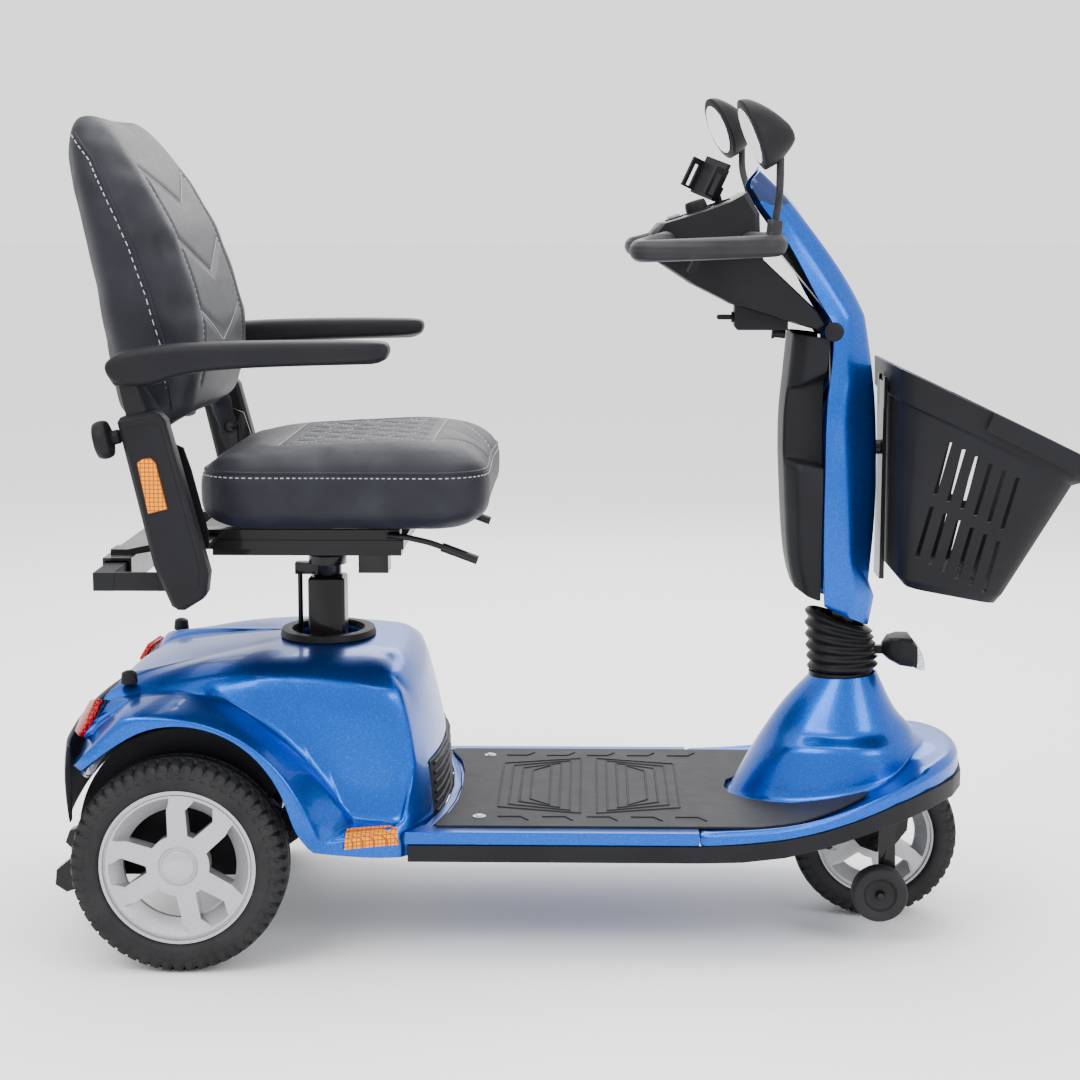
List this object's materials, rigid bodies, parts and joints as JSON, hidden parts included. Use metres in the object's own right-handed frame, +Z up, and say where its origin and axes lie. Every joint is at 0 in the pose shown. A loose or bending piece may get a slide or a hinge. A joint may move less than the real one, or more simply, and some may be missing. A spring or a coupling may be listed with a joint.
{
  "type": "mobility scooter",
  "caption": "Electric mobility scooter with a padded swivel seat, flip-up armrests, rubber footwell mat, tilting tiller with loop handles, mirrors and a front basket.",
  "frame": {"origin": "centre of the whole scooter's length and width, on the floor under the tyres", "axes": "+X towards the front wheel, +Y towards the rider's left, +Z up"},
  "size_m": [1.3678, 0.632, 1.1204],
  "materials": {
    "blue_paint": "metallic gloss",
    "black_plastic": "fine grained",
    "black_metal": "satin",
    "tyre_rubber": "matt",
    "mat_rubber": "matt",
    "boot_rubber": "satin",
    "grip_rubber": "ribbed",
    "leather": "grained",
    "silver_paint": "silver paint",
    "steel": "plain",
    "battery": "plain",
    "controller": "anodised",
    "red_lens": "clear",
    "button_plastic": "matt"
  },
  "bodies": {
    "chassis": {"main_frame": "black_metal", "deck_pan": "blue_paint", "deck_skirt": "black_plastic", "floor_mat": "mat_rubber", "rear_shroud": "blue_paint", "post_ring": "black_plastic", "front_vent": "black_plastic", "rear_bumper": "black_plastic", "front_shroud": "blue_paint", "tail_lamp_left": "red_lens", "tail_lamp_right": "red_lens", "antitip_bar": "black_metal", "battery_pack": "battery", "controller": "controller", "transaxle": "steel", "seat_post_outer": "black_metal"},
    "rear_wheel_left": {"rear_rim_left": "silver_paint", "rear_tyre_left": "tyre_rubber"},
    "rear_wheel_right": {"rear_rim_right": "silver_paint", "rear_tyre_right": "tyre_rubber"},
    "stabiliser_left": {"stabiliser_wheel_left": "tyre_rubber"},
    "stabiliser_right": {"stabiliser_wheel_right": "tyre_rubber"},
    "steering": {"front_fork": "black_metal", "boot": "boot_rubber", "headlamp": "black_plastic"},
    "front_wheel": {"front_rim": "silver_paint", "front_tyre": "tyre_rubber"},
    "tiller": {"tiller_column": "black_metal", "tiller_front_cover": "blue_paint", "tiller_rear_cover": "black_plastic", "console_lower": "black_plastic", "console_upper": "black_plastic", "handle_left": "grip_rubber", "handle_right": "grip_rubber", "basket": "black_plastic"},
    "throttle_lever_left": {"throttle_left": "black_plastic"},
    "throttle_lever_right": {"throttle_right": "black_plastic"},
    "speed_dial": {"speed_knob": "black_plastic"},
    "key": {"ignition_key": "steel"},
    "horn": {"horn_button": "button_plastic"},
    "lights": {"lights_button": "button_plastic"},
    "mirror_head_left": {"mirror_left": "black_plastic"},
    "mirror_head_right": {"mirror_right": "black_plastic"},
    "phone_holder": {"phone_cradle": "black_plastic"},
    "basket_bail": {"basket_handle": "black_plastic"},
    "seat_mast": {"seat_post_inner": "black_metal"},
    "seat_swivel": {"swivel_plate": "black_metal"},
    "seat": {"seat_frame": "black_metal", "seat_cushion": "leather"},
    "slide_handle": {"slide_lever": "black_metal"},
    "swivel_handle": {"swivel_lever": "black_metal"},
    "seat_back": {"backrest": "leather"},
    "arm_left": {"arm_guard_left": "black_plastic"},
    "arm_right": {"arm_guard_right": "black_plastic"},
    "arm_upright_left": {"arm_post_left": "black_metal"},
    "arm_upright_right": {"arm_post_right": "black_metal"},
    "arm_pad_left": {"armrest_left": "black_plastic"},
    "arm_pad_right": {"armrest_right": "black_plastic"},
    "arm_screw_left": {"arm_knob_left": "black_plastic"},
    "arm_screw_right": {"arm_knob_right": "black_plastic"}
  },
  "joints": [
    {"name": "rear_wheel_left_spin", "type": "hinge", "parent": "chassis", "child": "rear_wheel_left", "pos_m": [-0.4959, 0.254, 0.138], "axis": [0, 1, 0], "continuous": true},
    {"name": "rear_wheel_right_spin", "type": "hinge", "parent": "chassis", "child": "rear_wheel_right", "pos_m": [-0.4959, -0.254, 0.138], "axis": [0, 1, 0], "continuous": true},
    {"name": "stabiliser_left_spin", "type": "hinge", "parent": "chassis", "child": "stabiliser_left", "pos_m": [0.4061, 0.16, 0.073], "axis": [0, 1, 0], "continuous": true},
    {"name": "stabiliser_right_spin", "type": "hinge", "parent": "chassis", "child": "stabiliser_right", "pos_m": [0.4061, -0.16, 0.073], "axis": [0, 1, 0], "continuous": true},
    {"name": "steering_turn", "type": "hinge", "parent": "chassis", "child": "steering", "pos_m": [0.3717, 0, 0.33], "axis": [-0.1736, 0, 0.9848], "range_deg": [-38, 38]},
    {"name": "front_wheel_spin", "type": "hinge", "parent": "steering", "child": "front_wheel", "pos_m": [0.4156, 0, 0.1124], "axis": [0, 1, 0], "continuous": true},
    {"name": "tiller_tilt", "type": "hinge", "parent": "steering", "child": "tiller", "pos_m": [0.3681, 0, 0.372], "axis": [0, -1, 0], "range_deg": [-5, 20], "deforming": ["boot"]},
    {"name": "throttle_right_pull", "type": "hinge", "parent": "tiller", "child": "throttle_lever_right", "pos_m": [0.1571, -0.103, 0.916], "axis": [0, 1, 0], "range_deg": [-15, 15], "stiffness_Nm_per_rad": 0.5},
    {"name": "throttle_left_pull", "type": "hinge", "parent": "tiller", "child": "throttle_lever_left", "pos_m": [0.1571, 0.103, 0.916], "axis": [0, 1, 0], "range_deg": [-15, 15], "stiffness_Nm_per_rad": 0.5},
    {"name": "speed_dial_turn", "type": "hinge", "parent": "tiller", "child": "speed_dial", "pos_m": [0.163, -0.068, 0.959], "axis": [-0.2918, 0, 0.9565], "range_deg": [-135, 135]},
    {"name": "key_turn", "type": "hinge", "parent": "tiller", "child": "key", "pos_m": [0.2126, -0.05, 0.8215], "axis": [1, 0, 0], "range_deg": [0, 90]},
    {"name": "horn_press", "type": "slide", "parent": "tiller", "child": "horn", "axis": [0.2918, 0, -0.9565], "range_m": [0, 0.0015], "stiffness_N_per_m": 300},
    {"name": "lights_press", "type": "slide", "parent": "tiller", "child": "lights", "axis": [0.2918, 0, -0.9565], "range_m": [0, 0.0015], "stiffness_N_per_m": 300},
    {"name": "mirror_left_turn", "type": "hinge", "parent": "tiller", "child": "mirror_head_left", "pos_m": [0.2411, 0.2565, 1.058], "axis": [0, 0, 1], "range_deg": [-30, 30]},
    {"name": "mirror_right_turn", "type": "hinge", "parent": "tiller", "child": "mirror_head_right", "pos_m": [0.2541, -0.2565, 1.033], "axis": [0, 0, 1], "range_deg": [-30, 30]},
    {"name": "phone_tilt", "type": "hinge", "parent": "tiller", "child": "phone_holder", "pos_m": [0.1907, 0, 0.9828], "axis": [0, 1, 0], "range_deg": [-10, 10]},
    {"name": "basket_bail_lift", "type": "hinge", "parent": "tiller", "child": "basket_bail", "pos_m": [0.5311, 0, 0.699], "axis": [0, -1, 0], "range_deg": [0, 115]},
    {"name": "seat_raise", "type": "slide", "parent": "chassis", "child": "seat_mast", "axis": [0, 0, 1], "range_m": [0, 0.075]},
    {"name": "seat_turn", "type": "hinge", "parent": "seat_mast", "child": "seat_swivel", "pos_m": [-0.3329, 0, 0.51], "axis": [0, 0, 1], "continuous": true},
    {"name": "seat_slide", "type": "slide", "parent": "seat_swivel", "child": "seat", "axis": [1, 0, 0], "range_m": [-0.05, 0.05]},
    {"name": "slide_lever_lift", "type": "hinge", "parent": "seat", "child": "slide_handle", "pos_m": [-0.2349, -0.1735, 0.547], "axis": [0, -1, 0], "range_deg": [0, 8], "stiffness_Nm_per_rad": 3},
    {"name": "swivel_lever_lift", "type": "hinge", "parent": "seat", "child": "swivel_handle", "pos_m": [-0.2349, 0.1735, 0.547], "axis": [0, -1, 0], "range_deg": [0, 8], "stiffness_Nm_per_rad": 3},
    {"name": "backrest_fold", "type": "hinge", "parent": "seat", "child": "seat_back", "pos_m": [-0.4969, 0, 0.649], "axis": [0, 1, 0], "range_deg": [0, 60]},
    {"name": "arm_left_width", "type": "slide", "parent": "seat", "child": "arm_left", "axis": [0, 1, 0], "range_m": [0, 0.04]},
    {"name": "arm_right_width", "type": "slide", "parent": "seat", "child": "arm_right", "axis": [0, -1, 0], "range_m": [0, 0.04]},
    {"name": "arm_left_height", "type": "slide", "parent": "arm_left", "child": "arm_upright_left", "axis": [-0.213, 0, 0.977], "range_m": [-0.028, 0.045]},
    {"name": "arm_right_height", "type": "slide", "parent": "arm_right", "child": "arm_upright_right", "axis": [-0.213, 0, 0.977], "range_m": [-0.028, 0.045]},
    {"name": "armrest_left_flip", "type": "hinge", "parent": "arm_upright_left", "child": "arm_pad_left", "pos_m": [-0.5429, 0.29, 0.765], "axis": [0, -1, 0], "range_deg": [0, 90]},
    {"name": "armrest_right_flip", "type": "hinge", "parent": "arm_upright_right", "child": "arm_pad_right", "pos_m": [-0.5429, -0.29, 0.765], "axis": [0, -1, 0], "range_deg": [0, 90]},
    {"name": "arm_knob_left_turn", "type": "hinge", "parent": "arm_left", "child": "arm_screw_left", "pos_m": [-0.53806, 0.29, 0.68929], "axis": [-0.977, 0, -0.213], "range_deg": [-180, 180]},
    {"name": "arm_knob_right_turn", "type": "hinge", "parent": "arm_right", "child": "arm_screw_right", "pos_m": [-0.53806, -0.29, 0.68929], "axis": [-0.977, 0, -0.213], "range_deg": [-180, 180]}
  ],
  "couplings": [
    {"joint": "throttle_left_pull", "follows": "throttle_right_pull", "ratio": -1}
  ]
}
